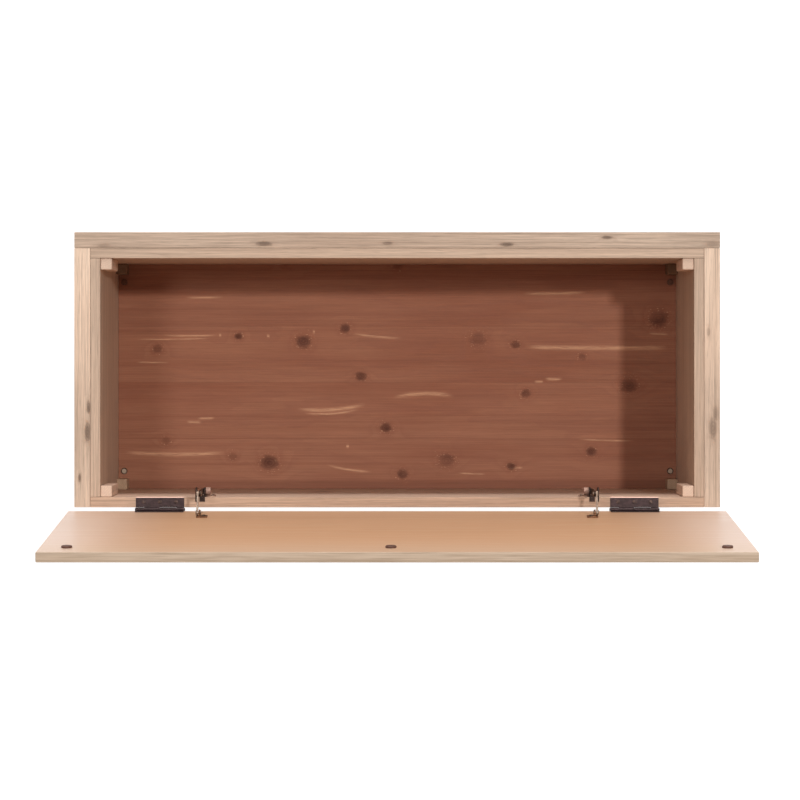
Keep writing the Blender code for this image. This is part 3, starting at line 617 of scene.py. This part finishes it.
def paint_woods():
    """Every board and block gets its own cut of its timber."""
    middle = MIDDLE_Y
    front_knots = rim_knots([
        (-0.173, 0.007, 0.0028), (-0.497, 0.006, 0.0030), (0.462, 0.009, 0.0026),
        (0.209, 0.006, 0.0032), (0.015, 0.005, 0.0022), (-0.330, -0.004, 0.0024),
    ]) + [Knot(0.31, 0.30, 0.011), Knot(-0.22, 0.18, 0.014), Knot(-0.02, 0.35, 0.007)]
    front = "front_outer_panel"
    paint(front, wood(
        front, OUTER_TIMBER, board_axes(front, LENGTHWISE), 1, front_knots, planks=WALL_PLANK,
    ))
    lining = "front_inner_panel"
    lining_axes = board_axes(lining, LENGTHWISE)
    paint(lining, wood(lining, INNER_TIMBER, lining_axes, 2, planks=WALL_PLANK))
    rear = "rear_panel"
    rear_knots = [Knot(0.12, 0.22, 0.012), Knot(-0.33, 0.31, 0.009)]
    paint(rear, wood(
        rear, REAR_TIMBER, board_axes(rear, LENGTHWISE), 3, rear_knots, planks=WALL_PLANK,
        tints=rear_painted_light,
    ))
    side_knots = {
        "left": rim_knots([
            (middle + 0.092, -0.001, 0.0046), (middle + 0.068, -0.005, 0.0034),
            (middle - 0.060, 0.006, 0.0020),
        ]) + [Knot(middle - 0.05, 0.24, 0.010)],
        "right": rim_knots([
            (middle + 0.098, -0.008, 0.0040), (middle + 0.060, -0.010, 0.0026),
            (middle + 0.170, 0.004, 0.0018),
        ]) + [Knot(middle + 0.07, 0.27, 0.012)],
    }
    for seed, side in enumerate(SIDES, 4):
        outer, inner = f"side_outer_panel_{side}", f"side_inner_panel_{side}"
        across = board_axes(outer, CROSSWISE)
        paint(outer, wood(
            outer, OUTER_TIMBER, across, seed, side_knots[side], planks=WALL_PLANK,
            shade=(middle + SHADE_FROM, middle + SHADE_TO, *SIDE_SHADES[side]),
        ))
        inner_axes = board_axes(inner, CROSSWISE)
        paint(inner, wood(inner, INNER_TIMBER, inner_axes, seed + 4, planks=WALL_PLANK))
    knots = [
        Knot(along, middle + across, radius * KNOT_SPREAD) for along, across, radius in CEDAR_KNOTS
    ]
    pale = [
        ((u0, middle + v0), (u1, middle + v1), width * PALE_SPREAD, bow)
        for (u0, v0), (u1, v1), width, bow in CEDAR_PALE
    ]
    cedar = board_axes("cedar_lining", FLAT)
    paint("cedar_lining", wood(
        "cedar_lining", CEDAR_TIMBER, cedar, 11, knots, pith=(0.0, 0.16), planks=CEDAR_STRIP,
        pale=pale,
        tints=cedar_painted_shade,
    ))
    paint("floor_panel", wood(
        "floor_panel", PLY_TIMBER, board_axes("floor_panel", FLAT), 12, pith=(0.1, 0.3),
    ))
    for seed, edge in enumerate(("front", "rear", "left", "right"), 13):
        cleat = f"floor_cleat_{edge}"
        axes = FLAT if edge in ("front", "rear") else (Y, X, Z)
        paint(cleat, wood(cleat, PLY_TIMBER, board_axes(cleat, axes), seed))
    seed = 20
    # The front lower blocks take the painted-shade copy of the lower blocks' timber
    for end, low_timber in (("front", PAINTED_SHADE_BLOCK_TIMBER), ("rear", LOW_BLOCK_TIMBER)):
        for side in SIDES:
            for level, timber in (("upper", BLOCK_TIMBER), ("lower", low_timber)):
                part = f"{level}_corner_block_{end}_{side}"
                low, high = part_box(part)
                pith = ((low.x + high.x) / 2 + 0.02, 0.024)
                paint(part, wood(part, timber, board_axes(part, UPRIGHT), seed, pith=pith))
                seed += 1
            foot = f"foot_{end}_{side}"
            low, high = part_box(foot)
            pith = (low.x + 0.02, 0.03)
            paint(foot, wood(foot, OUTER_TIMBER, board_axes(foot, UPRIGHT), seed, pith=pith))
            seed += 1
    paint("lid_panel", wood(
        "lid_panel", LID_TIMBER, lid_axes, 40, pith=(0.16, 0.22), tints=lid_tints,
    ))


# ---- Metal and rubber -------------------------------------------------------------------


def metal(name, base, dull, roughness, painted_light_band=None, metallic=0.9):
    """Metal with fine wear: base where it is polished and dull in the hollows.

    worn is (axis, from, to, colour): a band of painted light, where the metal turns to that colour from one place
    to the other.
    """
    made, tree, shader = new_material(name)
    x, y, z = object_axes(tree)
    wear = noise(tree, x * 225.0, y * 225.0, z * 225.0, 3.0, 0.6)
    scratch = noise(tree, x * 108.0, y * 1800.0, z * 1800.0, 2.0, 0.6)
    tone = mixed(tree, wear.step(0.35, 0.68), dull, base)
    if painted_light_band:
        axis, start, end, bright = painted_light_band
        tone = mixed(tree, (x, y, z)[axis].step(start, end, 0.0, 0.85), tone, bright)
    tree.links.new(tone, shader.inputs["Base Color"])
    rough = scratch * 0.22 + (roughness - 0.11)
    tree.links.new(rough.socket, shader.inputs["Roughness"])
    shader.inputs["Metallic"].default_value = metallic
    add_bump(tree, shader, scratch, 0.25, 0.00008)
    return made


def rubber(name):
    """Matt brown rubber with dust in its grain."""
    made, tree, shader = new_material(name)
    x, y, z = object_axes(tree)
    grain = noise(tree, x * 1800.0, y * 1800.0, z * 1800.0, 2.0, 0.6)
    dust = noise(tree, x * 260.0, y * 260.0, z * 260.0, 2.0, 0.6)
    tone = mixed(tree, dust.step(0.45, 0.75, 0.0, 0.5), colour(92, 58, 44), colour(122, 86, 68))
    tree.links.new(tone, shader.inputs["Base Color"])
    rough = grain * 0.2 + 0.5
    tree.links.new(rough.socket, shader.inputs["Roughness"])
    add_bump(tree, shader, grain, 0.4, 0.0001)
    return made


def paint_metals():
    """Finishes of the hinges, stays, bolts and bumpers."""
    leaf_front = span("hinge_body_leaf_left", Y)[0]
    bolt_top = span("foot_bolt_front_left", Z)[1]
    looks = {
        # Painted highlight: the hinge leaves turn pale pink along their front edge, where light catches it
        "hinge_bronze": metal(
            "hinge_bronze", colour(66, 52, 52), colour(50, 40, 40), 0.44,
            painted_light_band=(Y, leaf_front + 0.0016, leaf_front + 0.0011, colour(226, 190, 174)),
        ),
        "stay_dark": metal("stay_dark", colour(84, 66, 56), colour(58, 44, 36), 0.46),
        "stay_steel": metal("stay_steel", colour(172, 152, 136), colour(132, 112, 98), 0.50),
        # Painted highlight: the bolts turn pale on the top of their heads
        "bolt_steel": metal(
            "bolt_steel", colour(108, 84, 70), colour(70, 52, 42), 0.48,
            painted_light_band=(Z, bolt_top - 0.0006, bolt_top - 0.0001, colour(158, 138, 120)),
        ),
        "bumper_rubber": rubber("bumper_rubber"),
    }
    for part in frame["record"]["subparts"]:
        if part["material_slot"] in looks:
            paint(part["node"], looks[part["material_slot"]])
    grey = metal(
        "stay_damper_grey", colour(196, 158, 140), colour(168, 132, 116), 0.65, metallic=0.1,
    )
    brown = metal("stay_foot_brown", colour(140, 100, 74), colour(96, 64, 44), 0.55)
    # Painted shade: the front foot bolts are painted dark brown, standing in for the front wall's shadow over them
    painted_shade_bolt = metal("bolt_painted_shade", colour(118, 76, 54), colour(98, 60, 42), 0.60, metallic=0.3)
    for side in SIDES:
        paint(f"stay_damper_{side}", grey)
        paint(f"stay_lid_bracket_{side}", brown)
        paint(f"foot_bolt_front_{side}", painted_shade_bolt)
        ear = min(abs(edge) for edge in span(f"stay_bracket_{side}", X))
        damper_end = max(abs(edge) for edge in span(f"stay_damper_{side}", X))
        sign = SIDES[side]
        # Painted reflection: each bracket's ear end turns pale pink-brown, standing in for the wood reflected in
        # its plate
        paint(f"stay_bracket_{side}", metal(
            f"stay_bracket_{side}", colour(60, 46, 42), colour(42, 32, 28), 0.50,
            painted_light_band=(X, sign * damper_end, sign * (damper_end + ear) / 2, colour(186, 152, 132)),
        ))


# ---- Screws -----------------------------------------------------------------------------

# Sizes of the leaves and plates that the screws hold
LEAF_FACE = 0.00015
LEAF_SCREW_FROM_END = 0.0125
LEAF_SCREWS = 3
BARREL_CLEARANCE = 0.0038
PLATE_FACE = 0.00225
STAY_EAR = 0.007
STAY_SCREW_SPACING = 0.017
LID_FOOT_FACE = -0.00045
LID_FOOT_REACH = 0.011
LID_FOOT_SCREW_SPACING = 0.009
BLOCK_SCREW_DROPS = (0.025, 0.085)

# A screw's head: radius, rise of its crown over its edge, and height of its cone
COUNTERSUNK = (0.0032, 0.00012, 0.0013)
PAN = (0.0030, 0.0011, 0.0002)
SHANK_RADIUS = 0.0016
SHANK_LENGTH = 0.006
RECESS_DEPTH = 0.0009
RIM_STEPS = 36


def circle(shape, radius, height):
    """Vertices on a level circle. It starts beside the cross's first corner."""
    angles = [2 * math.pi * index / RIM_STEPS - math.pi / 12 for index in range(RIM_STEPS)]
    return [shape.verts.new((radius * math.cos(a), radius * math.sin(a), height)) for a in angles]


def cross(shape, arm, width, height):
    """Vertices round a cross, from the lower corner of its first arm."""
    corners = [(arm, -width), (arm, width), (width, width)]
    points = []
    for quarter in range(4):
        turn = Matrix.Rotation(quarter * math.pi / 2, 2)
        points += [turn @ Vector(corner) for corner in corners]
    return [shape.verts.new((*point, height)) for point in points]


def band(shape, lower, upper):
    """Faces between two rings of as many vertices."""
    for index, corner in enumerate(lower):
        after = (index + 1) % len(lower)
        shape.faces.new((corner, lower[after], upper[after], upper[index]))


def screw_mesh(name, head, look):
    """A wood screw with a cross recess. Its head's edge is at the origin, and it points down."""
    radius, rise, cone = head
    shape = bmesh.new()
    floor = cross(shape, radius * 0.42, radius * 0.10, rise - RECESS_DEPTH)
    mouth = cross(shape, radius * 0.52, radius * 0.15, rise)
    shape.faces.new(floor)
    band(shape, floor, mouth)
    crown = circle(shape, radius * 0.72, rise * 0.8)
    thirds = RIM_STEPS // len(mouth)
    for index, corner in enumerate(mouth):
        following = mouth[(index + 1) % len(mouth)]
        near = [crown[(index * thirds + step) % RIM_STEPS] for step in range(thirds + 1)]
        shape.faces.new((corner, near[0], near[1]))
        shape.faces.new((corner, near[1], near[2], following))
        shape.faces.new((following, near[2], near[3]))
    shoulder = circle(shape, radius * 0.94, rise * 0.35)
    edge = circle(shape, radius, 0.0)
    neck = circle(shape, SHANK_RADIUS, -cone)
    tip = circle(shape, SHANK_RADIUS * 0.8, -SHANK_LENGTH)
    for outer, inner in ((crown, shoulder), (shoulder, edge), (edge, neck), (neck, tip)):
        band(shape, outer, inner)
    shape.faces.new(reversed(tip))
    bmesh.ops.recalc_face_normals(shape, faces=shape.faces)
    mesh = bpy.data.meshes.new(name)
    shape.to_mesh(mesh)
    shape.free()
    mesh.shade_smooth()
    mesh.set_sharp_from_angle(angle=math.radians(35.0))
    mesh.materials.append(look)
    return mesh


def place_screw(name, mesh, where, body):
    """A screw at a 4 x 4 place, whose own Z points out of what it holds."""
    screw = bpy.data.objects.new(name, mesh)
    screw.matrix_world = where
    bpy.context.scene.collection.objects.link(screw)
    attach(screw, body)


def facing(x, y, z, axis="X", turn=0.0, spin=0.0):
    """A place whose Z is the world's Z turned about one axis, after a spin of the recess."""
    turned = Matrix.Rotation(math.radians(turn), 4, axis) @ Matrix.Rotation(spin, 4, "Z")
    return Matrix.Translation((x, y, z)) @ turned


def make_hinge_screws():
    """Three screws in each hinge leaf, flush with it."""
    look = metal("hinge_screw_bronze", colour(84, 66, 60), colour(48, 38, 36), 0.40)
    mesh = screw_mesh("countersunk_screw", COUNTERSUNK, look)
    for side in SIDES:
        start, end = span(f"hinge_body_leaf_{side}", X)
        front = span(f"hinge_body_leaf_{side}", Y)[0]
        y = (front + HINGE_AXIS.y - BARREL_CLEARANCE) / 2
        pitch = (end - start - 2 * LEAF_SCREW_FROM_END) / (LEAF_SCREWS - 1)
        for index in range(LEAF_SCREWS):
            x = start + LEAF_SCREW_FROM_END + index * pitch
            spin = 0.9 * index + 0.4 * SIDES[side]
            name = f"hinge_screw_{{}}_{side}_{index + 1}"
            on_rim = facing(x, y, HINGE_AXIS.z - LEAF_FACE, spin=spin)
            place_screw(name.format("body"), mesh, on_rim, "root")
            on_lid = LID_PLACE @ facing(x, y - HINGE_AXIS.y, LEAF_FACE, turn=180.0, spin=spin)
            place_screw(name.format("lid"), mesh, on_lid, "lid")


def make_stay_screws():
    """Two screws through each stay's wall plate, and two through its foot under the lid."""
    look = metal("stay_screw_steel", colour(120, 98, 84), colour(70, 54, 46), 0.42)
    mesh = screw_mesh("pan_screw", PAN, look)
    wall = span("rear_panel", Y)[0]
    for side, sign in SIDES.items():
        low, high = span(f"stay_bracket_{side}", X)
        x = (high if sign < 0 else low) + sign * STAY_EAR / 2
        pivot = Vector(JOINTS[f"{side}_arm_pivot"]["pos_m"])
        lid_pivot = HINGE_AXIS + Vector(JOINTS[f"{side}_link_pivot"]["pos_m"]) - pivot
        foot = LID_PLACE.inverted() @ lid_pivot
        low, high = span(f"stay_lid_bracket_{side}", X)
        foot_x = (high if sign < 0 else low) + sign * LID_FOOT_REACH / 2
        for index, step in ((1, -0.5), (2, 0.5)):
            z = pivot.z + step * STAY_SCREW_SPACING
            on_wall = facing(x, wall - PLATE_FACE, z, turn=90.0, spin=0.5 * index)
            place_screw(f"stay_wall_screw_{side}_{index}", mesh, on_wall, "root")
            y = foot.y + step * LID_FOOT_SCREW_SPACING
            on_lid = LID_PLACE @ facing(foot_x, y, LID_FOOT_FACE, turn=180.0, spin=0.7 * index)
            place_screw(f"stay_lid_screw_{side}_{index}", mesh, on_lid, "lid")


def make_block_screws():
    """Two screws in each upper corner block, on its face towards the chest's middle."""
    look = metal("block_screw_zinc", colour(196, 184, 160), colour(140, 128, 108), 0.36)
    mesh = screw_mesh("block_screw", COUNTERSUNK, look)
    for end in ("front", "rear"):
        for side, sign in SIDES.items():
            low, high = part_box(f"upper_corner_block_{end}_{side}")
            x = high.x if sign < 0 else low.x
            y = (low.y + high.y) / 2
            for index, drop in enumerate(BLOCK_SCREW_DROPS, 1):
                where = facing(x, y, high.z - drop, axis="Y", turn=-90.0 * sign, spin=index)
                name = f"corner_block_screw_{end}_{side}_{index}"
                place_screw(name, mesh, where, "root")


make_camera()
make_stage()
paint_woods()
paint_metals()
make_hinge_screws()
make_stay_screws()
make_block_screws()
